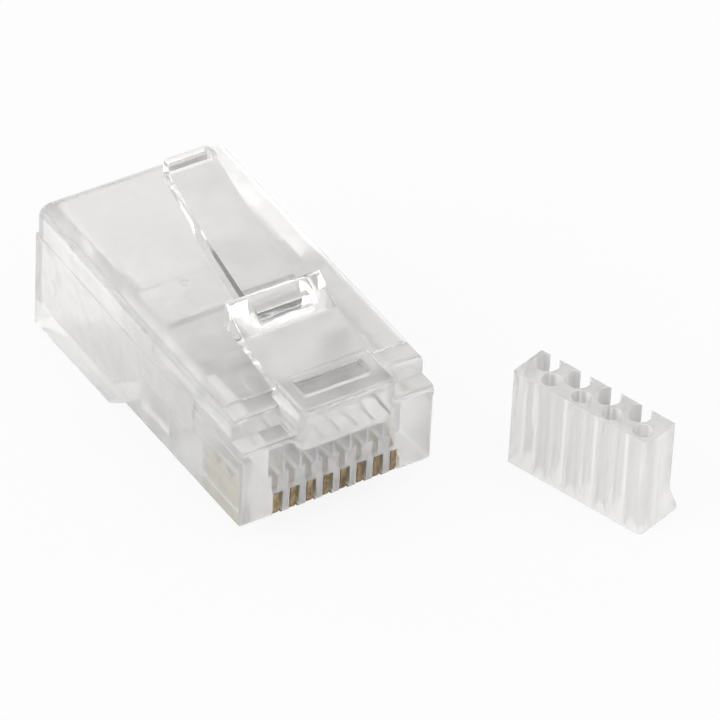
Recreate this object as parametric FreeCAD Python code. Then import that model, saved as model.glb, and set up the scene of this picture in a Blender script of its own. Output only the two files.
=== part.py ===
import FreeCAD, Part
import os

# An 8-position modular plug (RJ45) with its separate load bar, in millimetres.
# +X runs across the width, -Y is the way the plug goes into its jack and +Z is the latch side.
# z = 0 is the flat under the cable end on which the plug rests.  The origin is the centre of
# that flat.  Distances called "from the nose" are measured back from the front mating face.

# ---- housing: outside -------------------------------------------------------------------
PLUG_WIDTH = 11.68
PLUG_LENGTH = 21.2           # from the nose to the cable end
NOSE_BOTTOM_Z = 1.2          # underside of the contact end, above the rest flat
LEDGE_Z = 6.2                # top of the ledge on the nose
LEDGE_DEPTH = 1.17
PAD_RISE = 1.25              # from the ledge to the low step of the top just behind it
PAD_END = 2.4
TOP_STEP = 0.21              # from the low step to the front of the sloping top face
TOP_RISE = 0.39              # of that face, from there to the cable end
RAMP_START = 11.75           # underside ramp down to the rest flat
REST_START = 13.4
TOP_EDGE_R = 0.7             # rounding of the long top edges
NOSE_EDGE_R = 0.3            # rounding of the nose's cross edges
CORNER_R = 0.3               # rounding of the nose's and the cable end's upright corners
BASE_EDGE_R = 0.2            # rounding of the long bottom edges
DRAFT_STEP = 0.05            # the upper mould half is narrower by this on each side
PARTING_FRONT_DROP = 0.65    # parting line on the side walls, below the ledge at the nose
PARTING_REAR_DROP = 0.05     # and at the cable end
GATE_X = -2.24               # dimple of the moulding gate in the sloping top face
GATE_FROM_NOSE = 11.87
GATE_R = 0.3
GATE_DEPTH = 0.12

# ---- housing: block that carries the latch ------------------------------------------------
ROOT_HALF_WIDTH = 2.9
ROOT_OVERHANG = 1.0          # how far the block stands out in front of the nose
ROOT_REAR = 2.0
ROOT_DROP = 0.27             # its underside, below the ledge
ROOT_RISE = 2.3              # its top, above the ledge
ROOT_CORNER_R = 0.45
ROOT_EDGE_R = 0.3
POCKET_HALF_WIDTH = 2.05     # coring pocket in the block's top
POCKET_FRONT = 0.2
POCKET_REAR = 1.5
POCKET_DEPTH = 0.5
POCKET_CORNER_R = 0.2

# ---- latch (its rises are measured from the top of the root block) ---------------------------
STRAP_THICKNESS = 0.55       # flexing strap at the root of the latch
HINGE_GAP = 0.02             # gap round the strap's rounded front end
STRAP_BEND = 4.85            # from the nose: where the strap turns up into the shoulder ramp
STRAP_BEND_RISE = 0.48
SHOULDER_REAR = 6.85         # from the nose: rear faces of the two locking shoulders
SHOULDER_TOP_RISE = 1.74
SHOULDER_BASE_RISE = 0.22
SHOULDER_HALF_WIDTH = 2.88
LEVER_HALF_WIDTH = 1.6       # lever at its front end
LEVER_TIP_HALF_WIDTH = 1.45
LEVER_FOOT = 5.15            # from the nose: front foot of the raised middle block
LEVER_SHELF = 5.8
LEVER_SHELF_RISE = 1.35
LEVER_BREAK = 7.25           # from the nose: the three bends of the lever's top face
LEVER_BREAK_RISE = 1.6
LEVER_KNEE = 10.8
LEVER_KNEE_RISE = 2.48
LEVER_LIP = 14.95
LEVER_LIP_RISE = 4.08
LIP_RISE = 0.5               # turned-up lip at the lever's end
LIP_RUN = 0.32
LIP_LENGTH = 0.9             # from the lip's front foot to the lever's end
LEVER_THICKNESS = 1.15
LEVER_TIP_THICKNESS = 0.85
TIP_THIN_START = 12.3        # from the nose: step to the thinner end of the lever
TIP_STEP_RUN = 0.35
LATCH_EDGE_R = 0.12

# ---- load bar (it stands beside the plug on the face that goes in first) --------------------
BAR_END_MARGIN = 0.895       # from the first and the last hole's centre to the bar's end
BAR_THICKNESS = 2.35
BAR_HEIGHT = 6.15
BAR_CORNER_R = 0.1
BAR_SOFT_CORNER_R = 0.35     # the one corner that is rounded more
BAR_OPEN_R = 0.72            # wire holes of the row that breaks out through the long side
BAR_OPEN_INSET = 0.65        # their centres, in from that side
BAR_CLOSED_R = 0.54          # wire holes of the closed row
BAR_CLOSED_INSET = 0.74      # their centres, in from the other side
BAR_NUB_LENGTH = 1.2         # snap nub at each end of the open side
BAR_NUB_OUT = 0.7
BAR_NUB_HEIGHT = 1.75
BAR_NUB_TIP = 0.25
BAR_ASIDE = 4.25             # its nearest corner, out from the plug's side wall
BAR_FROM_NOSE = -0.93
BAR_TURN_DEG = -72.0         # direction of the bar's length, from +X
BAR_CLEARANCE = 0.08         # play of the bar in its chamber

# ---- contacts ----------------------------------------------------------------------------
CONTACT_COUNT = 8
CONTACT_PITCH = 1.02
BLADE_THICKNESS = 0.35
BLADE_FRONT = 0.1            # from the nose
BLADE_LENGTH = 4.5
BLADE_PROUD = 0.12           # stands out below the nose before crimping
BLADE_NOSE_R = 0.45
BLADE_BACK_R = 0.2
TINE_COUNT = 3
TINE_TIP_Z = 3.5
TINE_ROOT_Z = 2.85
TINE_TIP_FLAT = 0.12
TINE_FRONT_GAP = 0.1         # from the front ends of the wire channels to the first tine
BLADE_TOP_GAP = 0.08         # room over the blade's front end in its slot
SLOT_WIDTH = 0.6             # open mouth of a contact slot
SLOT_TOP_Z = 2.77
SLOT_REAR_GAP = 0.15
GRIP_GAP = 0.01              # play on each side of a blade in the narrow part of its slot

# ---- housing: inside ---------------------------------------------------------------------
FRONT_WALL = 0.75            # nose face to the ends of the wire channels
CHANNEL_WIDTH = 0.86
CHANNEL_TOP_Z = 5.5
CHANNEL_FLOOR_Z = 3.6
CHANNEL_STEP = 0.1           # up from the chamber's floor to the channels' floors
CHAMBER_FRONT = 5.6          # from the nose: stop face for the load bar
ENTRY_HALF_WIDTH = 4.55      # mouth for the cable
ENTRY_FLOOR_Z = 0.95
ENTRY_KNEE = 0.3             # the mouth's floor turns level this far behind REST_START
ENTRY_TOP_WALL = 1.0
ENTRY_CORNER_R = 0.4
ENTRY_FRONT = 12.9           # from the nose: where the straight mouth turns into the funnel
FUNNEL_LENGTH = 2.5          # from there forward to the load bar chamber
NUB_ROOM_FRONT_GAP = 0.15    # play in front of the load bar's nubs in their step of the chamber

# ---- housing: strain relief bar in the underside --------------------------------------------
RELIEF_FRONT = 8.3           # from the nose: the bar's window in the underside
RELIEF_REAR = 11.2
RELIEF_HALF_WIDTH = 3.6
RELIEF_WEB = 0.3             # thin web that carries the bar
RELIEF_GAP = 0.3             # slit round the bar
RELIEF_BAR_Z = 2.9           # top of the bar's wedge
RELIEF_BAR_FLAT = 0.6        # length of that top

# ---- how far a cutter runs past the face that it opens ----------------------------------------
CUT_OVERLAP = 0.1            # into the next hollow
CUT_REACH = 1.0              # out of the outer faces

HALF_WIDTH = PLUG_WIDTH / 2.0
NOSE_Y = -(REST_START + PLUG_LENGTH) / 2.0

PAD_Z = LEDGE_Z + PAD_RISE
TOP_FRONT_Z = PAD_Z + TOP_STEP
TOP_REAR_Z = TOP_FRONT_Z + TOP_RISE
PARTING_FRONT_Z = LEDGE_Z - PARTING_FRONT_DROP
PARTING_REAR_Z = LEDGE_Z - PARTING_REAR_DROP

ROOT_BOTTOM_Z = LEDGE_Z - ROOT_DROP
ROOT_TOP_Z = LEDGE_Z + ROOT_RISE
PIVOT_Z = ROOT_TOP_Z - STRAP_THICKNESS / 2.0
STRAP_BEND_Z = ROOT_TOP_Z + STRAP_BEND_RISE
SHOULDER_TOP_Z = ROOT_TOP_Z + SHOULDER_TOP_RISE
SHOULDER_BASE_Z = ROOT_TOP_Z + SHOULDER_BASE_RISE
LEVER_SHELF_Z = ROOT_TOP_Z + LEVER_SHELF_RISE
LEVER_BREAK_Z = ROOT_TOP_Z + LEVER_BREAK_RISE
LEVER_KNEE_Z = ROOT_TOP_Z + LEVER_KNEE_RISE
LEVER_LIP_Z = ROOT_TOP_Z + LEVER_LIP_RISE
LEVER_END = LEVER_LIP + LIP_LENGTH

BAR_X = HALF_WIDTH + BAR_ASIDE
BAR_LENGTH = (CONTACT_COUNT - 1) * CONTACT_PITCH + 2.0 * BAR_END_MARGIN

TOP_SLOPE = TOP_RISE / (PLUG_LENGTH - PAD_END)
CHAMBER_HALF_WIDTH = BAR_LENGTH / 2.0 + BAR_CLEARANCE
CHAMBER_FLOOR_Z = CHANNEL_FLOOR_Z - CHANNEL_STEP
CHAMBER_TOP_Z = CHAMBER_FLOOR_Z + BAR_THICKNESS + 2.0 * BAR_CLEARANCE
ENTRY_FLOOR_FRONT_Z = ENTRY_FLOOR_Z + NOSE_BOTTOM_Z / 2.0


def vec(x, from_nose, z):
    return FreeCAD.Vector(x, NOSE_Y + from_nose, z)


def box(x0, x1, d0, d1, z0, z1):
    """Box between two corners, with y given as distances from the nose."""
    return Part.makeBox(x1 - x0, d1 - d0, z1 - z0, vec(x0, d0, z0))


def side_prism(points, x0, x1):
    """Side outline (distance from the nose, height), drawn at x0 and extruded to x1."""
    corners = [vec(x0, d, z) for d, z in points]
    outline = Part.makePolygon(corners + corners[:1])
    return Part.Face(outline).extrude(FreeCAD.Vector(x1 - x0, 0, 0))


def top_z(from_nose):
    """Height of the sloping top face."""
    return TOP_FRONT_Z + TOP_SLOPE * (from_nose - PAD_END)


def parting_z(from_nose):
    return PARTING_FRONT_Z + (PARTING_REAR_Z - PARTING_FRONT_Z) * from_nose / PLUG_LENGTH


def edges_where(shape, test):
    """Edges whose two ends, taken as (x, distance from the nose, z), pass the test."""
    found = []
    for edge in shape.Edges:
        ends = [v.Point for v in edge.Vertexes]
        if len(ends) < 2:
            continue
        a, b = [(p.x, p.y - NOSE_Y, p.z) for p in ends]
        if test(a, b):
            found.append(edge)
    return found


def near(a, b):
    return abs(a - b) < 1e-4


def round_edges(shape, radius, test):
    return shape.makeFillet(radius, edges_where(shape, test))


def outer_body():
    """Nose, ledge, sloping top, underside ramp and rest flat, with their rounded edges."""
    lower = side_prism([
        (0, NOSE_BOTTOM_Z),
        (RAMP_START, NOSE_BOTTOM_Z),
        (REST_START, 0),
        (PLUG_LENGTH, 0),
        (PLUG_LENGTH, parting_z(PLUG_LENGTH)),
        (0, parting_z(0)),
    ], -HALF_WIDTH, HALF_WIDTH)
    inner = HALF_WIDTH - DRAFT_STEP
    upper = side_prism([
        (0, parting_z(0)),
        (PLUG_LENGTH, parting_z(PLUG_LENGTH)),
        (PLUG_LENGTH, TOP_REAR_Z),
        (PAD_END, TOP_FRONT_Z),
        (PAD_END, PAD_Z),
        (LEDGE_DEPTH, PAD_Z),
        (LEDGE_DEPTH, LEDGE_Z),
        (0, LEDGE_Z),
    ], -inner, inner)

    def long_top(a, b):
        return near(abs(a[0]), inner) and near(a[0], b[0]) and min(a[2], b[2]) > PAD_Z + 0.01 \
            and abs(a[1] - b[1]) > PAD_END

    def upper_front(a, b):
        across = near(a[1], b[1]) and near(a[2], b[2]) and not near(a[0], b[0])
        ledge_edge = near(a[1], 0) and near(a[2], LEDGE_Z)
        pad_edge = near(a[1], LEDGE_DEPTH) and near(a[2], PAD_Z)
        return across and (ledge_edge or pad_edge)

    def rear_top(a, b):
        return near(a[1], PLUG_LENGTH) and near(b[1], PLUG_LENGTH) \
            and min(a[2], b[2]) > TOP_REAR_Z - TOP_EDGE_R - 0.01

    def nose_base(a, b):
        return near(a[1], 0) and near(b[1], 0) and near(a[2], NOSE_BOTTOM_Z) and near(b[2], NOSE_BOTTOM_Z)

    def upright(a, b):
        return near(a[0], b[0]) and near(a[1], b[1]) and (near(a[1], 0) or near(a[1], PLUG_LENGTH))

    def long_base(a, b):
        return near(abs(a[0]), HALF_WIDTH) and near(a[0], b[0]) and max(a[2], b[2]) < NOSE_BOTTOM_Z + 0.01

    upper = round_edges(upper, TOP_EDGE_R, long_top)
    upper = round_edges(upper, NOSE_EDGE_R, upper_front)
    upper = round_edges(upper, NOSE_EDGE_R, rear_top)
    lower = round_edges(lower, NOSE_EDGE_R, nose_base)
    lower = round_edges(lower, BASE_EDGE_R, long_base)
    return lower.fuse(upper)


def gate_dimple():
    """Shallow round hollow that the moulding gate left in the top face."""
    radius = (GATE_R ** 2 + GATE_DEPTH ** 2) / (2.0 * GATE_DEPTH)
    return Part.makeSphere(radius, vec(GATE_X, GATE_FROM_NOSE, top_z(GATE_FROM_NOSE) - GATE_DEPTH + radius))


def root_block():
    """Block over the nose that carries the latch; it overhangs the mating face."""
    block = box(-ROOT_HALF_WIDTH, ROOT_HALF_WIDTH, -ROOT_OVERHANG, ROOT_REAR, ROOT_BOTTOM_Z, ROOT_TOP_Z)

    def upright_front(a, b):
        return near(a[1], -ROOT_OVERHANG) and near(b[1], -ROOT_OVERHANG) and near(a[0], b[0])

    def front_rim(a, b):
        return near(a[2], ROOT_TOP_Z) and near(b[2], ROOT_TOP_Z) and min(a[1], b[1]) < 0

    block = round_edges(block, ROOT_CORNER_R, upright_front)
    block = round_edges(block, ROOT_EDGE_R, front_rim)
    pocket = box(-POCKET_HALF_WIDTH, POCKET_HALF_WIDTH, POCKET_FRONT, POCKET_REAR,
                 ROOT_TOP_Z - POCKET_DEPTH, ROOT_TOP_Z + CUT_REACH)
    pocket = round_edges(pocket, POCKET_CORNER_R, lambda a, b: near(a[0], b[0]) and near(a[1], b[1]))
    return block.cut(pocket)


def hinge_seat():
    """Hollow in the root block in which the strap's rounded front end turns."""
    radius = STRAP_THICKNESS / 2.0 + HINGE_GAP
    half = ROOT_HALF_WIDTH + CUT_REACH
    return Part.makeCylinder(radius, 2 * half, vec(-half, ROOT_REAR, PIVOT_Z), FreeCAD.Vector(1, 0, 0))


def contact_x(index):
    return (index - (CONTACT_COUNT - 1) / 2.0) * CONTACT_PITCH


def contact_space(index):
    """Open slot, narrow grip slot and wire channel of one contact, as one cutter."""
    x = contact_x(index)
    slot_end = BLADE_FRONT + BLADE_LENGTH + SLOT_REAR_GAP
    half_grip = BLADE_THICKNESS / 2.0 + GRIP_GAP
    mouth = box(x - SLOT_WIDTH / 2, x + SLOT_WIDTH / 2, -CUT_REACH, slot_end,
                NOSE_BOTTOM_Z - CUT_REACH, SLOT_TOP_Z)
    grip = box(x - half_grip, x + half_grip, FRONT_WALL, slot_end,
               SLOT_TOP_Z - CUT_OVERLAP, CHANNEL_FLOOR_Z + CUT_OVERLAP)
    channel = box(x - CHANNEL_WIDTH / 2, x + CHANNEL_WIDTH / 2, FRONT_WALL, CHAMBER_FRONT + CUT_OVERLAP,
                  CHANNEL_FLOOR_Z, CHANNEL_TOP_Z)
    return mouth.fuse([grip, channel])


def cable_space():
    """Cable mouth, funnel and load bar chamber, as one cutter."""
    mouth_top = TOP_REAR_Z - ENTRY_TOP_WALL
    front_top = top_z(ENTRY_FRONT) - ENTRY_TOP_WALL
    mouth_end = PLUG_LENGTH + CUT_REACH
    knee = REST_START + ENTRY_KNEE
    mouth = side_prism([
        (ENTRY_FRONT, ENTRY_FLOOR_FRONT_Z),
        (knee, ENTRY_FLOOR_Z),
        (mouth_end, ENTRY_FLOOR_Z),
        (mouth_end, mouth_top + TOP_SLOPE * CUT_REACH),
        (ENTRY_FRONT, front_top),
    ], -ENTRY_HALF_WIDTH, ENTRY_HALF_WIDTH)
    mouth = round_edges(mouth, ENTRY_CORNER_R, lambda a, b: near(a[0], b[0])
                        and near(max(a[1], b[1]), mouth_end) and not near(a[1], b[1]))
    funnel_front = ENTRY_FRONT - FUNNEL_LENGTH
    funnel_rear = ENTRY_FRONT + CUT_OVERLAP
    funnel = side_prism([
        (funnel_front, CHAMBER_FLOOR_Z),
        (funnel_rear, ENTRY_FLOOR_FRONT_Z),
        (funnel_rear, front_top - CUT_OVERLAP),
        (funnel_front, CHAMBER_TOP_Z),
    ], -CHAMBER_HALF_WIDTH, CHAMBER_HALF_WIDTH)
    chamber = box(-CHAMBER_HALF_WIDTH, CHAMBER_HALF_WIDTH, CHAMBER_FRONT, funnel_front + CUT_OVERLAP,
                  CHAMBER_FLOOR_Z, CHAMBER_TOP_Z)
    nub_front = CHAMBER_FRONT + BAR_HEIGHT - BAR_NUB_HEIGHT
    nub_room = box(-CHAMBER_HALF_WIDTH, CHAMBER_HALF_WIDTH, nub_front - NUB_ROOM_FRONT_GAP, ENTRY_FRONT,
                   CHAMBER_TOP_Z - CUT_OVERLAP, CHAMBER_TOP_Z + BAR_NUB_OUT + BAR_CLEARANCE)
    return mouth.fuse([funnel, chamber, nub_room])


def relief_space():
    """Window in the underside round the strain relief bar, which stays on a thin web."""
    window = box(-RELIEF_HALF_WIDTH, RELIEF_HALF_WIDTH, RELIEF_FRONT, RELIEF_REAR,
                 NOSE_BOTTOM_Z - CUT_REACH, CHAMBER_FLOOR_Z + CUT_OVERLAP)
    web_front = RELIEF_FRONT - CUT_OVERLAP
    bar_rear = RELIEF_REAR - RELIEF_GAP
    bar = side_prism([
        (web_front, NOSE_BOTTOM_Z),
        (bar_rear, NOSE_BOTTOM_Z),
        (bar_rear, RELIEF_BAR_Z),
        (bar_rear - RELIEF_BAR_FLAT, RELIEF_BAR_Z),
        (RELIEF_FRONT + RELIEF_GAP, NOSE_BOTTOM_Z + RELIEF_WEB),
        (web_front, NOSE_BOTTOM_Z + RELIEF_WEB),
    ], -RELIEF_HALF_WIDTH + RELIEF_GAP, RELIEF_HALF_WIDTH - RELIEF_GAP)
    return window.cut(bar)


def housing():
    body = outer_body().fuse(root_block())
    body = body.cut(cable_space())
    body = body.cut(relief_space())
    body = body.cut([contact_space(i) for i in range(CONTACT_COUNT)])
    body = body.cut([hinge_seat(), gate_dimple()])
    return body.removeSplitter()


def latch():
    """Strap with a rounded front end, two locking shoulders and the finger lever."""
    half = SHOULDER_HALF_WIDTH
    under_bend_z = STRAP_BEND_Z - STRAP_THICKNESS
    strap = side_prism([
        (ROOT_REAR, ROOT_TOP_Z),
        (ROOT_REAR, ROOT_TOP_Z - STRAP_THICKNESS),
        (STRAP_BEND, under_bend_z),
        (SHOULDER_REAR, SHOULDER_BASE_Z),
        (SHOULDER_REAR, SHOULDER_TOP_Z),
        (STRAP_BEND, STRAP_BEND_Z),
    ], -half, half)
    strap = round_edges(strap, LATCH_EDGE_R, lambda a, b: near(a[0], b[0]) and near(abs(a[0]), half)
                        and min(a[2], b[2]) > STRAP_BEND_Z - 0.01 and not near(a[1], b[1]))
    knuckle = Part.makeCylinder(STRAP_THICKNESS / 2.0, 2 * half, vec(-half, ROOT_REAR, PIVOT_Z),
                                FreeCAD.Vector(1, 0, 0))
    thin_z = lever_top(TIP_THIN_START) - LEVER_THICKNESS
    thin_end = TIP_THIN_START + TIP_STEP_RUN
    foot_z = ramp_z(LEVER_FOOT)
    lever = side_prism([
        (LEVER_FOOT, foot_z - STRAP_THICKNESS / 2),
        (LEVER_FOOT, foot_z),
        (LEVER_SHELF, LEVER_SHELF_Z),
        (LEVER_BREAK, LEVER_BREAK_Z),
        (LEVER_KNEE, LEVER_KNEE_Z),
        (LEVER_LIP, LEVER_LIP_Z),
        (LEVER_LIP + LIP_RUN, LEVER_LIP_Z + LIP_RISE),
        (LEVER_END, LEVER_LIP_Z + LIP_RISE),
        (LEVER_END, lever_top(LEVER_END) - LEVER_TIP_THICKNESS),
        (thin_end, lever_top(thin_end) - LEVER_TIP_THICKNESS),
        (TIP_THIN_START, thin_z),
        (LEVER_KNEE, LEVER_KNEE_Z - LEVER_THICKNESS),
        (SHOULDER_REAR, SHOULDER_BASE_Z),
    ], -LEVER_HALF_WIDTH, LEVER_HALF_WIDTH)
    lever = lever.common(lever_plan())
    tip_top = LEVER_LIP_Z + LIP_RISE
    lever = round_edges(lever, 2 * LATCH_EDGE_R, lambda a, b: near(a[1], LEVER_END) and near(b[1], LEVER_END)
                        and near(a[2], tip_top) and near(b[2], tip_top))
    return strap.fuse([knuckle, lever]).removeSplitter()


def ramp_z(from_nose):
    """Height of the ramp in front of the locking shoulders."""
    slope = (SHOULDER_TOP_Z - STRAP_BEND_Z) / (SHOULDER_REAR - STRAP_BEND)
    return STRAP_BEND_Z + slope * (from_nose - STRAP_BEND)


def lever_top(from_nose):
    """Height of the lever's top face behind its knee."""
    slope = (LEVER_LIP_Z - LEVER_KNEE_Z) / (LEVER_LIP - LEVER_KNEE)
    return LEVER_KNEE_Z + slope * (from_nose - LEVER_KNEE)


def lever_plan():
    """The lever's outline from above, tapering to its end, as a tall prism."""
    corners = [
        vec(-LEVER_HALF_WIDTH, LEVER_FOOT, 0),
        vec(LEVER_HALF_WIDTH, LEVER_FOOT, 0),
        vec(LEVER_TIP_HALF_WIDTH, LEVER_END, 0),
        vec(-LEVER_TIP_HALF_WIDTH, LEVER_END, 0),
    ]
    height = LEVER_LIP_Z + LIP_RISE + CUT_REACH
    plan = Part.Face(Part.makePolygon(corners + corners[:1])).extrude(FreeCAD.Vector(0, 0, height))
    return round_edges(plan, CORNER_R, lambda a, b: near(a[0], b[0]) and near(a[1], LEVER_END)
                       and near(b[1], LEVER_END))


def contact(index):
    """Insulation-piercing blade: a rounded contact edge below and sharp tines above."""
    x = contact_x(index)
    bottom_z = NOSE_BOTTOM_Z - BLADE_PROUD
    tine_front = FRONT_WALL + TINE_FRONT_GAP
    blade_end = BLADE_FRONT + BLADE_LENGTH
    front_top_z = SLOT_TOP_Z - BLADE_TOP_GAP
    pitch = (blade_end - tine_front) / TINE_COUNT
    points = [
        (BLADE_FRONT, bottom_z),
        (blade_end, bottom_z),
        (blade_end, TINE_ROOT_Z),
    ]
    for k in reversed(range(TINE_COUNT)):
        middle = tine_front + pitch * (k + 0.5)
        points.append((middle + TINE_TIP_FLAT / 2, TINE_TIP_Z))
        points.append((middle - TINE_TIP_FLAT / 2, TINE_TIP_Z))
        points.append((tine_front + pitch * k, TINE_ROOT_Z))
    points.append((tine_front, front_top_z))
    points.append((BLADE_FRONT, front_top_z))
    blade = side_prism(points, x - BLADE_THICKNESS / 2.0, x + BLADE_THICKNESS / 2.0)
    blade = round_edges(blade, BLADE_NOSE_R, lambda a, b: near(a[1], BLADE_FRONT) and near(b[1], BLADE_FRONT)
                        and near(a[2], bottom_z) and near(b[2], bottom_z))
    return round_edges(blade, BLADE_BACK_R, lambda a, b: near(a[1], blade_end) and near(b[1], blade_end)
                       and near(a[2], bottom_z) and near(b[2], bottom_z))


def bar_uprights(bar, soft):
    """The bar's upright corner edges: the soft one, or the three others."""
    found = []
    for edge in bar.Edges:
        a, b = edge.Vertexes[0].Point, edge.Vertexes[-1].Point
        upright = near(a.x, b.x) and near(a.y, b.y) and not near(a.z, b.z)
        on_side = near(a.y, 0) or near(a.y, BAR_THICKNESS)
        on_end = near(a.x, 0) or near(a.x, BAR_LENGTH)
        is_soft = near(a.y, 0) and near(a.x, BAR_LENGTH)
        if upright and on_side and on_end and soft == is_soft:
            found.append(edge)
    return found


def load_bar():
    """Wire guide with two staggered rows of holes, drawn along +X and then set beside the plug."""
    bar = Part.makeBox(BAR_LENGTH, BAR_THICKNESS, BAR_HEIGHT)
    for soft, radius in ((True, BAR_SOFT_CORNER_R), (False, BAR_CORNER_R)):
        bar = bar.makeFillet(radius, bar_uprights(bar, soft))
    for side in (0, 1):
        start = side * (BAR_LENGTH - BAR_NUB_LENGTH)
        nub_points = [
            (BAR_THICKNESS - BAR_CORNER_R, 0),
            (BAR_THICKNESS + BAR_NUB_OUT, 0),
            (BAR_THICKNESS + BAR_NUB_OUT, BAR_NUB_TIP),
            (BAR_THICKNESS, BAR_NUB_HEIGHT),
            (BAR_THICKNESS - BAR_CORNER_R, BAR_NUB_HEIGHT),
        ]
        corners = [FreeCAD.Vector(start, y, z) for y, z in nub_points]
        nub = Part.Face(Part.makePolygon(corners + corners[:1]))
        bar = bar.fuse(nub.extrude(FreeCAD.Vector(BAR_NUB_LENGTH, 0, 0)))
    for index in range(CONTACT_COUNT):
        x = BAR_LENGTH / 2.0 + contact_x(index)
        if index % 2 == 0:
            y = BAR_THICKNESS - BAR_OPEN_INSET
            radius = BAR_OPEN_R
        else:
            y = BAR_CLOSED_INSET
            radius = BAR_CLOSED_R
        hole = Part.makeCylinder(radius, BAR_HEIGHT + 2 * CUT_REACH, FreeCAD.Vector(x, y, -CUT_REACH))
        bar = bar.cut(hole)
    bar = bar.removeSplitter()
    bar.rotate(FreeCAD.Vector(0, 0, 0), FreeCAD.Vector(0, 0, 1), BAR_TURN_DEG)
    bar.translate(vec(BAR_X, BAR_FROM_NOSE, 0))
    return bar


def export(name, shape):
    if not shape.isValid() or len(shape.Solids) != 1:
        raise ValueError("%s is not one valid solid (%d)" % (name, len(shape.Solids)))
    shape = shape.Solids[0]
    shape.exportStep("parts/%s.step" % name)
    print("%-12s volume %9.3f  faces %3d" % (name, shape.Volume, len(shape.Faces)))
    return shape


def main():
    os.makedirs("parts", exist_ok=True)
    export("housing", housing())
    export("latch", latch())
    for index in range(CONTACT_COUNT):
        export("contact_%d" % (index + 1), contact(index))
    export("load_bar", load_bar())


if __name__ == "__main__":
    main()
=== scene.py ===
import math

import bpy
from mathutils import Matrix, Vector


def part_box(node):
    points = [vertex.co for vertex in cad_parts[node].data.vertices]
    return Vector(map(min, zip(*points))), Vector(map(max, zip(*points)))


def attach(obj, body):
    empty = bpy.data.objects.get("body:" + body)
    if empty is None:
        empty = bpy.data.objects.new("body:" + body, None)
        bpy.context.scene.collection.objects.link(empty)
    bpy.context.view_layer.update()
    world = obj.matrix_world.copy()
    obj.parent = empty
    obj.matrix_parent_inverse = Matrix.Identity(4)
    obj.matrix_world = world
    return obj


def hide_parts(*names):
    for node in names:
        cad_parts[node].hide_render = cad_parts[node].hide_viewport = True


bl_info = {
    "name": "Modular plug with load bar",
    "version": (1, 0, 0),
    "blender": (4, 5, 0),
    "location": "3D View > Sidebar > Modular Plug",
    "description": "Dresses the packed eight-way modular plug in moulded plastic and plated contacts",
    "category": "Object",
}

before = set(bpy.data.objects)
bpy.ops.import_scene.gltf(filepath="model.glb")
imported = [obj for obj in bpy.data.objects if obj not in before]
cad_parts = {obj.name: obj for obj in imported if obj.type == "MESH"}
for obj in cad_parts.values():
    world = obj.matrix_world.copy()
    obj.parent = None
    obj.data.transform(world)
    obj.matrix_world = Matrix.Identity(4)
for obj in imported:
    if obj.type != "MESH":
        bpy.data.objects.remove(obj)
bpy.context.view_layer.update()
MM = 0.001
CONTACT_NODES = sorted(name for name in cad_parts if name.startswith("contact_"))

# Merging and softening of the CAD nodes' edges
MERGE_DISTANCE = 0.002 * MM
FLAT_ANGLE = math.radians(0.5)          # faces that meet flatter than this become one
SHARP_ANGLE = math.radians(35)          # edges sharper than this are rounded
SMOOTH_ANGLE = math.radians(40)

# Mould ripples: height and width. They are drawn higher than real ones, so that they show.
HOUSING_RIPPLE = (0.07 * MM, 2.2 * MM)
LATCH_RIPPLE = (0.006 * MM, 1.6 * MM)
BAR_RIPPLE = (0.006 * MM, 0.3 * MM)
BAR_UPRIGHT = 0.04                      # the load bar's ripples are long pull marks along Z
CLOUD_WIDTH = 3.0 * MM                  # milky clouds in the etched faces
CLOUD_SHARE = 0.12                      # how far they go from the etched clarity, up and down
POLISH_EDGE = 0.2 * MM                  # over which polish turns to etching
NOWHERE = (1.0, 1.0)                    # a polished range far outside the plug
BLOCK_SHARE = (0.24, 0.39)              # the raised block, in shares of the latch from its front
WEAR_WIDTH = 0.35 * MM                  # worn patches in the gold flash
SHEAR_WIDTH = 0.05 * MM                 # fine marks of stamping, drawn coarser than the real ones
SHEAR_HEIGHT = 0.01 * MM
SHEAR_UPRIGHT = 0.1                     # they are drawn out along Z
NOISE_RANGE = (0.3, 0.7)                # where most of a noise's values lie
LOOKS_UP = (0.6, 0.85)                  # a normal's Z where a face begins to look up, and fully does
LOOKS_ASIDE = (0.6, 0.8)                # the same for X, on the blades' flanks

# Studio
FLOOR_SIZE = 0.16
SHOWN_WHITE = 0.88                      # share of the floor that the camera sees as plain white
WHITE_THROUGH_PLASTIC = 0.76            # the same share for light that comes through clear plastic
KEY_PLACE = (0.4313, -0.2857, 0.8556)
KEY_SIZE = 0.35
KEY_WATTS = 0.45
FILL_PLACE = (-0.6, 0.1, 0.4)
FILL_SIZE = 0.5
FILL_WATTS = 1.3
LOW_LIGHT = 1.85                        # strength of the tent at the horizon
HIGH_LIGHT = 0.53                       # and overhead
DARK = 0.03                             # what is left of it in the dark gaps
SEAM_DIRECTION = (0.359, 0.191, 0.914)  # high on the right, where the tent's sheets meet
SEAM_RIM = 0.9877                       # cosines of the angles from that direction: 9 degrees
SEAM_CORE = 0.9945                      # and 6 degrees


# ---- helpers ------------------------------------------------------------------------------


def linear(hex_colour):
    """sRGB hex such as "#d9a441" as linear red, green, blue and an alpha of 1."""
    digits = hex_colour.lstrip("#")
    parts = [int(digits[i:i + 2], 16) / 255.0 for i in (0, 2, 4)]
    parts = [p / 12.92 if p <= 0.04045 else ((p + 0.055) / 1.055) ** 2.4 for p in parts]
    return (parts[0], parts[1], parts[2], 1.0)


def add_node(tree, kind, settings=None, links=None, **attributes):
    """Adds a node, with socket values in settings and incoming links given as socket: output."""
    node = tree.nodes.new(kind)
    for key, value in attributes.items():
        setattr(node, key, value)
    for key, value in (settings or {}).items():
        node.inputs[key].default_value = value
    for key, output in (links or {}).items():
        tree.links.new(output, node.inputs[key])
    return node


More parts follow.
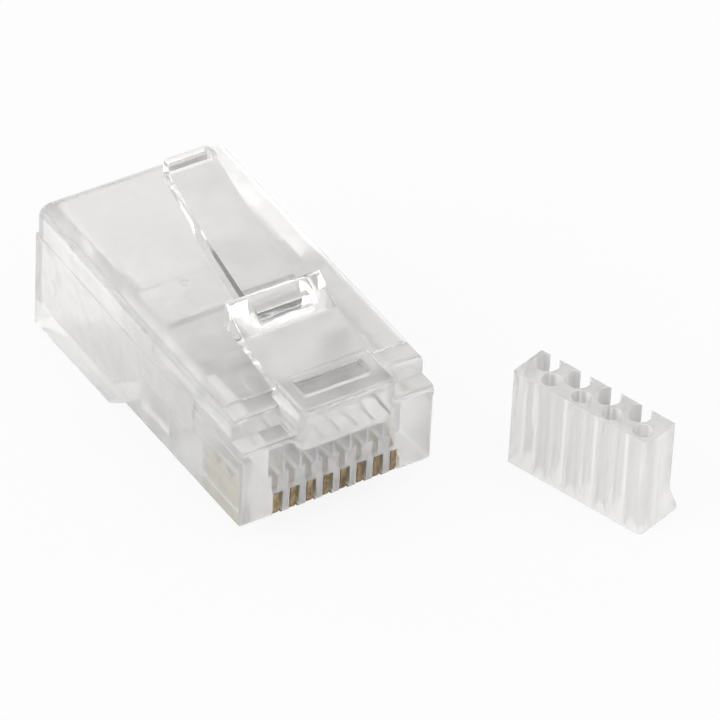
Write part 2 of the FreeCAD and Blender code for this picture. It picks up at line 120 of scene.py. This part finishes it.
def new_material(name):
    material = bpy.data.materials.new(name)
    material.use_nodes = True
    material.node_tree.nodes.clear()
    return material, material.node_tree


def only(obj):
    """Selects one object and makes it active."""
    bpy.ops.object.select_all(action="DESELECT")
    obj.select_set(True)
    bpy.context.view_layer.objects.active = obj


def copy_of(node, name):
    """A new piece that starts as a merged copy of a CAD node, with its flat faces made whole."""
    piece = bpy.data.objects.new(name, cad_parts[node].data.copy())
    bpy.context.scene.collection.objects.link(piece)
    piece.data.materials.clear()
    only(piece)
    bpy.ops.mesh.customdata_custom_splitnormals_clear()
    bpy.ops.object.mode_set(mode="EDIT")
    bpy.ops.mesh.select_all(action="SELECT")
    bpy.ops.mesh.remove_doubles(threshold=MERGE_DISTANCE)
    bpy.ops.mesh.dissolve_limited(angle_limit=FLAT_ANGLE, delimit=set())
    bpy.ops.object.mode_set(mode="OBJECT")
    return piece


def soften_edges(piece, width):
    """Rounds every sharp edge, as the mould's and the die's own edges are."""
    only(piece)
    bpy.ops.object.modifier_add(type="BEVEL")
    bevel = piece.modifiers[-1]
    bevel.width = width
    bevel.segments = 2
    bevel.limit_method = "ANGLE"
    bevel.angle_limit = SHARP_ANGLE
    bevel.use_clamp_overlap = True
    bevel.miter_outer = "MITER_ARC"
    bpy.ops.object.modifier_apply(modifier=bevel.name)
    bpy.ops.object.shade_smooth_by_angle(angle=SMOOTH_ANGLE)
    bpy.ops.object.modifier_add(type="WEIGHTED_NORMAL")
    flatten = piece.modifiers[-1]
    flatten.mode = "FACE_AREA"
    flatten.weight = 100
    flatten.keep_sharp = True
    bpy.ops.object.modifier_apply(modifier=flatten.name)


def finish_piece(piece, body, slot, material, *nodes):
    piece.data.materials.append(material)
    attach(piece, body)
    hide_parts(*nodes)


def step(tree, value, start, end, low, high):
    """Goes smoothly from low to high while the value goes from start to end."""
    return add_node(tree, "ShaderNodeMapRange",
                    {"From Min": start, "From Max": end, "To Min": low, "To Max": high},
                    {"Value": value}, interpolation_type="SMOOTHSTEP").outputs["Result"]


def times(tree, one, other):
    return add_node(tree, "ShaderNodeMath", None, {0: one, 1: other},
                    operation="MULTIPLY").outputs["Value"]


# ---- materials ----------------------------------------------------------------------------


def etched_share(tree, place, polished_start, polished_end):
    """1 on faces that look up, which are drawn as finely etched, and 0 on the polished ones."""
    normal = add_node(tree, "ShaderNodeNewGeometry").outputs["Normal"]
    upward = add_node(tree, "ShaderNodeSeparateXYZ", None, {"Vector": normal}).outputs["Z"]
    along = add_node(tree, "ShaderNodeSeparateXYZ", None, {"Vector": place}).outputs["Y"]
    before = step(tree, along, polished_start - POLISH_EDGE, polished_start, 1.0, 0.0)
    after = step(tree, along, polished_end, polished_end + POLISH_EDGE, 0.0, 1.0)
    etched = add_node(tree, "ShaderNodeMath", None, {0: before, 1: after}, operation="MAXIMUM")
    return times(tree, step(tree, upward, *LOOKS_UP, 0.0, 1.0), etched.outputs["Value"])


def clear_polycarbonate(name, tint, clarity, etched, haze, ripple, upright=1.0, polished=NOWHERE):
    """Clear injection-moulded polycarbonate: glassy, with a faint grey cast and soft mould ripples.

    Faces that look up take the etched clarity in place of the clarity, except where Y is in the
    polished range. The ripple is a height and a width. An upright value below 1 draws the ripples
    out along Z, the way the mould's core is pulled."""
    ripple_height, ripple_width = ripple
    material, tree = new_material(name)
    place = add_node(tree, "ShaderNodeTexCoord").outputs["Object"]
    drawn = add_node(tree, "ShaderNodeMapping", {"Scale": (1.0, 1.0, upright)}, {"Vector": place})
    flow = add_node(tree, "ShaderNodeTexNoise",
                    {"Scale": 1 / ripple_width, "Detail": 2.0, "Roughness": 0.5},
                    {"Vector": drawn.outputs["Vector"]})
    rough = add_node(tree, "ShaderNodeMapRange",
                     {"From Min": NOISE_RANGE[0], "From Max": NOISE_RANGE[1],
                      "To Min": haze * 0.7, "To Max": haze * 1.3}, {"Value": flow.outputs["Fac"]})
    bump = add_node(tree, "ShaderNodeBump", {"Strength": 1.0, "Distance": ripple_height},
                    {"Height": flow.outputs["Fac"]})
    # The milky skin scatters what falls on it from the air, and lets out all that comes from within.
    inside = add_node(tree, "ShaderNodeNewGeometry").outputs["Backfacing"]
    cloud = add_node(tree, "ShaderNodeTexNoise",
                     {"Scale": 1 / CLOUD_WIDTH, "Detail": 1.0, "Roughness": 0.5}, {"Vector": place})
    milky = step(tree, cloud.outputs["Fac"], *NOISE_RANGE, etched - CLOUD_SHARE, etched + CLOUD_SHARE)
    skin = add_node(tree, "ShaderNodeMapRange", {"To Min": clarity},
                    {"Value": etched_share(tree, place, *polished), "To Max": milky})
    clear = add_node(tree, "ShaderNodeMath", None, {0: inside, 1: skin.outputs["Result"]},
                     operation="MAXIMUM")
    shader = add_node(tree, "ShaderNodeBsdfPrincipled",
                      {"Base Color": linear(tint), "IOR": 1.586,
                       "Coat Weight": 0.6, "Coat Roughness": 0.04, "Coat IOR": 1.5},
                      {"Roughness": rough.outputs["Result"], "Normal": bump.outputs["Normal"],
                       "Transmission Weight": clear.outputs["Value"]})
    add_node(tree, "ShaderNodeOutputMaterial", None, {"Surface": shader.outputs["BSDF"]})
    return material


def plated_bronze(name, gold, bronze, flank):
    """Stamped phosphor bronze under a thin gold flash: narrow edges with worn brown patches, and
    pale flat flanks."""
    material, tree = new_material(name)
    place = add_node(tree, "ShaderNodeTexCoord").outputs["Object"]
    wear = add_node(tree, "ShaderNodeTexNoise",
                    {"Scale": 1 / WEAR_WIDTH, "Detail": 3.0, "Roughness": 0.6}, {"Vector": place})
    colour = add_node(tree, "ShaderNodeValToRGB", None, {"Fac": wear.outputs["Fac"]})
    colour.color_ramp.elements[0].position = 0.35
    colour.color_ramp.elements[0].color = linear(bronze)
    colour.color_ramp.elements[1].position = 0.6
    colour.color_ramp.elements[1].color = linear(gold)
    normal = add_node(tree, "ShaderNodeNewGeometry").outputs["Normal"]
    across = add_node(tree, "ShaderNodeSeparateXYZ", None, {"Vector": normal}).outputs["X"]
    sideways = add_node(tree, "ShaderNodeMath", None, {0: across}, operation="ABSOLUTE")
    flat = step(tree, sideways.outputs["Value"], *LOOKS_ASIDE, 0.0, 1.0)
    plating = add_node(tree, "ShaderNodeMix", {"B": linear(flank)},
                       {"Factor": flat, "A": colour.outputs["Color"]}, data_type="RGBA")
    stretch = add_node(tree, "ShaderNodeMapping", {"Scale": (1.0, 1.0, SHEAR_UPRIGHT)},
                       {"Vector": place})
    shear = add_node(tree, "ShaderNodeTexNoise", {"Scale": 1 / SHEAR_WIDTH, "Detail": 2.0},
                     {"Vector": stretch.outputs["Vector"]})
    rough = add_node(tree, "ShaderNodeMapRange", {"To Min": 0.2, "To Max": 0.42},
                     {"Value": shear.outputs["Fac"]})
    bump = add_node(tree, "ShaderNodeBump", {"Strength": 0.3, "Distance": SHEAR_HEIGHT},
                    {"Height": shear.outputs["Fac"]})
    shader = add_node(tree, "ShaderNodeBsdfPrincipled", {"Metallic": 1.0},
                      {"Base Color": plating.outputs["Result"], "Roughness": rough.outputs["Result"],
                       "Normal": bump.outputs["Normal"]})
    add_node(tree, "ShaderNodeOutputMaterial", None, {"Surface": shader.outputs["BSDF"]})
    return material


# ---- settings -----------------------------------------------------------------------------


class PlugSizes(bpy.types.PropertyGroup):
    housing_edge: bpy.props.FloatProperty(
        name="Housing edges", description="Rounding of the housing's moulded edges",
        default=0.07 * MM, min=0.0, unit="LENGTH", precision=6)
    latch_edge: bpy.props.FloatProperty(
        name="Latch edges", description="Rounding of the latch's moulded edges",
        default=0.06 * MM, min=0.0, unit="LENGTH", precision=6)
    bar_edge: bpy.props.FloatProperty(
        name="Load bar edges", description="Rounding of the load bar's moulded edges",
        default=0.05 * MM, min=0.0, unit="LENGTH", precision=6)
    blade_edge: bpy.props.FloatProperty(
        name="Blade edges", description="Rounding of the stamped contact blades",
        default=0.03 * MM, min=0.0, unit="LENGTH", precision=6)


class PlugFinishes(bpy.types.PropertyGroup):
    plastic_tint: bpy.props.StringProperty(
        name="Plastic tint", description="sRGB hex tint of the clear plastic", default="#f8f7f6")
    plastic_clarity: bpy.props.FloatProperty(
        name="Plastic clarity",
        description="Share of light that the clear plastic lets through unscattered",
        default=0.79, min=0.0, max=1.0, subtype="FACTOR")
    plastic_etched: bpy.props.FloatProperty(
        name="Etched plastic clarity",
        description="The same share on the housing's etched upper faces",
        default=0.52, min=0.0, max=1.0, subtype="FACTOR")
    plastic_haze: bpy.props.FloatProperty(
        name="Plastic haze", description="Surface roughness of the clear plastic",
        default=0.2, min=0.0, max=1.0, subtype="FACTOR")
    latch_clarity: bpy.props.FloatProperty(
        name="Latch clarity",
        description="Share of light that the latch lets through unscattered",
        default=0.88, min=0.0, max=1.0, subtype="FACTOR")
    latch_etched: bpy.props.FloatProperty(
        name="Etched latch clarity", description="The same share on the latch's etched upper faces",
        default=0.38, min=0.0, max=1.0, subtype="FACTOR")
    latch_haze: bpy.props.FloatProperty(
        name="Latch haze", description="Surface roughness of the latch",
        default=0.04, min=0.0, max=1.0, subtype="FACTOR")
    bar_clarity: bpy.props.FloatProperty(
        name="Load bar clarity",
        description="Share of light that the load bar lets through unscattered",
        default=0.55, min=0.0, max=1.0, subtype="FACTOR")
    bar_haze: bpy.props.FloatProperty(
        name="Load bar haze", description="Surface roughness of the load bar",
        default=0.2, min=0.0, max=1.0, subtype="FACTOR")
    gold: bpy.props.StringProperty(
        name="Gold flash", description="sRGB hex colour of the plated contact edges",
        default="#b8a080")
    bronze: bpy.props.StringProperty(
        name="Bare bronze", description="sRGB hex colour where the flash is thin", default="#7a6650")
    flank: bpy.props.StringProperty(
        name="Blade flanks", description="sRGB hex colour of the flat sides of the blades",
        default="#d8d3aa")


class StudioSettings(bpy.types.PropertyGroup):
    azimuth: bpy.props.FloatProperty(
        name="Azimuth", description="Camera's turn about the plug; 0 looks along +Y",
        default=math.radians(-33.63), subtype="ANGLE")
    elevation: bpy.props.FloatProperty(
        name="Elevation", description="Camera's height above the horizon",
        default=math.radians(38.85), subtype="ANGLE")
    roll: bpy.props.FloatProperty(
        name="Roll", description="Camera's turn about its own axis",
        default=math.radians(2.88), subtype="ANGLE")
    distance: bpy.props.FloatProperty(
        name="Distance", description="From the aimed point to the camera",
        default=0.377, min=0.05, unit="LENGTH")
    aim: bpy.props.FloatVectorProperty(
        name="Aim", description="Point that the camera looks at",
        default=(0.00518, -0.01116, 0.00378), subtype="TRANSLATION", precision=5)
    lens: bpy.props.FloatProperty(
        name="Lens", description="Focal length in millimetres on a 36 mm sensor",
        default=358.4, min=10.0, unit="CAMERA")
    floor_colour: bpy.props.StringProperty(
        name="Floor", description="sRGB hex colour of the floor", default="#ffffff")


# ---- pieces -------------------------------------------------------------------------------


class DressHousing(bpy.types.Operator):
    """Gives the housing its moulded edges and clear plastic"""

    bl_idname = "modular_plug.housing"
    bl_label = "Housing"

    def execute(self, context):
        sizes, finishes = context.scene.plug_sizes, context.scene.plug_finishes
        piece = copy_of("housing", "housing_moulding")
        soften_edges(piece, sizes.housing_edge)
        plastic = clear_polycarbonate("clear_polycarbonate_housing", finishes.plastic_tint,
                                      finishes.plastic_clarity, finishes.plastic_etched,
                                      finishes.plastic_haze, HOUSING_RIPPLE)
        finish_piece(piece, "plug", "clear_polycarbonate", plastic, "housing")
        return {"FINISHED"}


class DressLatch(bpy.types.Operator):
    """Gives the latch its moulded edges and clear plastic"""

    bl_idname = "modular_plug.latch"
    bl_label = "Latch"

    def execute(self, context):
        sizes, finishes = context.scene.plug_sizes, context.scene.plug_finishes
        piece = copy_of("latch", "latch_moulding")
        soften_edges(piece, sizes.latch_edge)
        front, rear = (corner[1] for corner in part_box("latch"))
        block = tuple(front + share * (rear - front) for share in BLOCK_SHARE)
        plastic = clear_polycarbonate("clear_polycarbonate_latch", finishes.plastic_tint,
                                      finishes.latch_clarity, finishes.latch_etched,
                                      finishes.latch_haze, LATCH_RIPPLE, polished=block)
        finish_piece(piece, "latch", "clear_polycarbonate", plastic, "latch")
        return {"FINISHED"}


class DressContacts(bpy.types.Operator):
    """Gives the eight contact blades their stamped edges and gold flash"""

    bl_idname = "modular_plug.contacts"
    bl_label = "Contacts"

    def execute(self, context):
        sizes, finishes = context.scene.plug_sizes, context.scene.plug_finishes
        metal = plated_bronze("gold_flashed_bronze", finishes.gold, finishes.bronze, finishes.flank)
        for node in CONTACT_NODES:
            piece = copy_of(node, node.replace("contact", "blade"))
            soften_edges(piece, sizes.blade_edge)
            finish_piece(piece, "plug", "gold_plated_bronze", metal, node)
        return {"FINISHED"}


class DressLoadBar(bpy.types.Operator):
    """Gives the load bar its moulded edges and milkier plastic"""

    bl_idname = "modular_plug.load_bar"
    bl_label = "Load bar"

    def execute(self, context):
        sizes, finishes = context.scene.plug_sizes, context.scene.plug_finishes
        piece = copy_of("load_bar", "load_bar_moulding")
        soften_edges(piece, sizes.bar_edge)
        plastic = clear_polycarbonate("clear_polycarbonate_load_bar", finishes.plastic_tint,
                                      finishes.bar_clarity, finishes.bar_clarity,
                                      finishes.bar_haze, BAR_RIPPLE, upright=BAR_UPRIGHT)
        finish_piece(piece, "plug", "clear_polycarbonate", plastic, "load_bar")
        return {"FINISHED"}


class SetStudio(bpy.types.Operator):
    """Makes the floor, the lights and the camera"""

    bl_idname = "modular_plug.studio"
    bl_label = "Studio"

    def execute(self, context):
        studio = context.scene.plug_studio
        bpy.ops.object.select_all(action="DESELECT")
        bpy.ops.mesh.primitive_plane_add(size=FLOOR_SIZE, location=(0.0, 0.0, 0.0))
        floor = context.active_object
        floor.name = "studio_floor"
        floor.data.materials.append(floor_paint(studio.floor_colour))
        self.camera(context, studio)
        self.lights(context)
        return {"FINISHED"}

    def camera(self, context, studio):
        bpy.ops.object.camera_add()
        camera = context.active_object
        camera.name = "studio_camera"
        camera.data.lens = studio.lens
        camera.data.sensor_width = 36.0
        camera.data.clip_start = 0.01
        camera.data.clip_end = 20.0
        a, e, r = studio.azimuth, studio.elevation, studio.roll
        right = Vector((math.cos(a), math.sin(a), 0.0))
        back = Vector((math.sin(a) * math.cos(e), -math.cos(a) * math.cos(e), math.sin(e)))
        up = back.cross(right)
        turned_right = math.cos(r) * right + math.sin(r) * up
        turned_up = math.cos(r) * up - math.sin(r) * right
        turn = Matrix((turned_right, turned_up, back)).transposed()
        place = Vector(studio.aim) + back * studio.distance
        camera.matrix_world = Matrix.Translation(place) @ turn.to_4x4()
        context.scene.camera = camera

    def lights(self, context):
        self.softbox(context, "key_softbox", KEY_PLACE, KEY_SIZE, KEY_WATTS)
        self.softbox(context, "fill_softbox", FILL_PLACE, FILL_SIZE, FILL_WATTS)
        world = bpy.data.worlds.new("studio_room")
        world.use_nodes = True
        tree = world.node_tree
        tree.nodes.clear()
        # A white tent, brightest at the horizon, that leaves two dark gaps: at the far edge of the
        # table behind the plug, and high up on the right, where its sheets meet. The limits are parts
        # of a unit direction, so that Z is the sine of the angle above the table.
        place = add_node(tree, "ShaderNodeTexCoord").outputs["Generated"]
        toward = add_node(tree, "ShaderNodeSeparateXYZ", None, {"Vector": place})
        tent = step(tree, toward.outputs["Z"], 0.0, 0.7, LOW_LIGHT, HIGH_LIGHT)
        behind = step(tree, toward.outputs["Y"], 0.75, 0.88, 0.0, 1.0)
        lower = step(tree, toward.outputs["Z"], -0.4, -0.3, 0.0, 1.0)
        upper = step(tree, toward.outputs["Z"], 0.04, 0.12, 1.0, 0.0)
        table_edge = times(tree, behind, times(tree, lower, upper))
        beside_edge = step(tree, table_edge, 0.0, 1.0, 1.0, DARK)
        seam = add_node(tree, "ShaderNodeVectorMath", {1: SEAM_DIRECTION}, {0: place},
                        operation="DOT_PRODUCT").outputs["Value"]
        beside_seam = step(tree, seam, SEAM_RIM, SEAM_CORE, 1.0, DARK)
        level = times(tree, tent, times(tree, beside_edge, beside_seam))
        white = linear("#ffffff")
        room = add_node(tree, "ShaderNodeBackground", {"Color": white}, {"Strength": level})
        shown = add_node(tree, "ShaderNodeBackground", {"Color": white, "Strength": 1.0})
        rays = add_node(tree, "ShaderNodeLightPath")
        mix = add_node(tree, "ShaderNodeMixShader", None,
                       {0: rays.outputs["Is Camera Ray"], 1: room.outputs["Background"],
                        2: shown.outputs["Background"]})
        add_node(tree, "ShaderNodeOutputWorld", None, {"Surface": mix.outputs["Shader"]})
        context.scene.world = world

    def softbox(self, context, name, place, size, watts):
        bpy.ops.object.light_add(type="AREA", location=place)
        lamp = context.active_object
        lamp.name = name
        lamp.data.size = size
        lamp.data.energy = watts
        lamp.rotation_euler = (-Vector(place)).to_track_quat("-Z", "Y").to_euler()


def floor_paint(colour):
    """White card sweep: shown white, and still darkened a little where the plug shades it."""
    material, tree = new_material("white_card_floor")
    card = add_node(tree, "ShaderNodeBsdfDiffuse", {"Color": linear(colour)})
    white = add_node(tree, "ShaderNodeEmission", {"Color": linear("#ffffff"), "Strength": 1.0})
    rays = add_node(tree, "ShaderNodeLightPath")
    direct = add_node(tree, "ShaderNodeMath", {1: SHOWN_WHITE}, {0: rays.outputs["Is Camera Ray"]},
                      operation="MULTIPLY")
    share = add_node(tree, "ShaderNodeMath", {1: WHITE_THROUGH_PLASTIC},
                     {0: rays.outputs["Is Transmission Ray"], 2: direct.outputs["Value"]},
                     operation="MULTIPLY_ADD")
    mix = add_node(tree, "ShaderNodeMixShader", None,
                   {0: share.outputs["Value"], 1: card.outputs["BSDF"], 2: white.outputs["Emission"]})
    add_node(tree, "ShaderNodeOutputMaterial", None, {"Surface": mix.outputs["Shader"]})
    return material


class PlugPanel(bpy.types.Panel):
    """Sizes, finishes and pieces of the modular plug"""

    bl_idname = "VIEW3D_PT_modular_plug"
    bl_label = "Modular Plug"
    bl_space_type = "VIEW_3D"
    bl_region_type = "UI"
    bl_category = "Modular Plug"

    def draw(self, context):
        layout = self.layout
        scene = context.scene
        for group in (scene.plug_sizes, scene.plug_finishes, scene.plug_studio):
            box = layout.box()
            for key in group.__annotations__:
                box.prop(group, key)
        for operator in PIECES:
            layout.operator(operator.bl_idname)


PIECES = (DressHousing, DressLatch, DressContacts, DressLoadBar, SetStudio)
CLASSES = (PlugSizes, PlugFinishes, StudioSettings) + PIECES + (PlugPanel,)


def register():
    for cls in CLASSES:
        bpy.utils.register_class(cls)
    bpy.types.Scene.plug_sizes = bpy.props.PointerProperty(type=PlugSizes)
    bpy.types.Scene.plug_finishes = bpy.props.PointerProperty(type=PlugFinishes)
    bpy.types.Scene.plug_studio = bpy.props.PointerProperty(type=StudioSettings)


def unregister():
    del bpy.types.Scene.plug_studio
    del bpy.types.Scene.plug_finishes
    del bpy.types.Scene.plug_sizes
    for cls in reversed(CLASSES):
        bpy.utils.unregister_class(cls)


def main():
    register()
    bpy.context.scene.view_settings.view_transform = "Standard"
    # Light goes to and fro many times inside clear plastic before it comes out again.
    cycles = bpy.context.scene.cycles
    cycles.max_bounces = 48
    cycles.transmission_bounces = 48
    cycles.glossy_bounces = 24
    cycles.diffuse_bounces = 12
    bpy.ops.modular_plug.housing()
    bpy.ops.modular_plug.latch()
    bpy.ops.modular_plug.contacts()
    bpy.ops.modular_plug.load_bar()
    bpy.ops.modular_plug.studio()


if __name__ == "__main__":
    main()
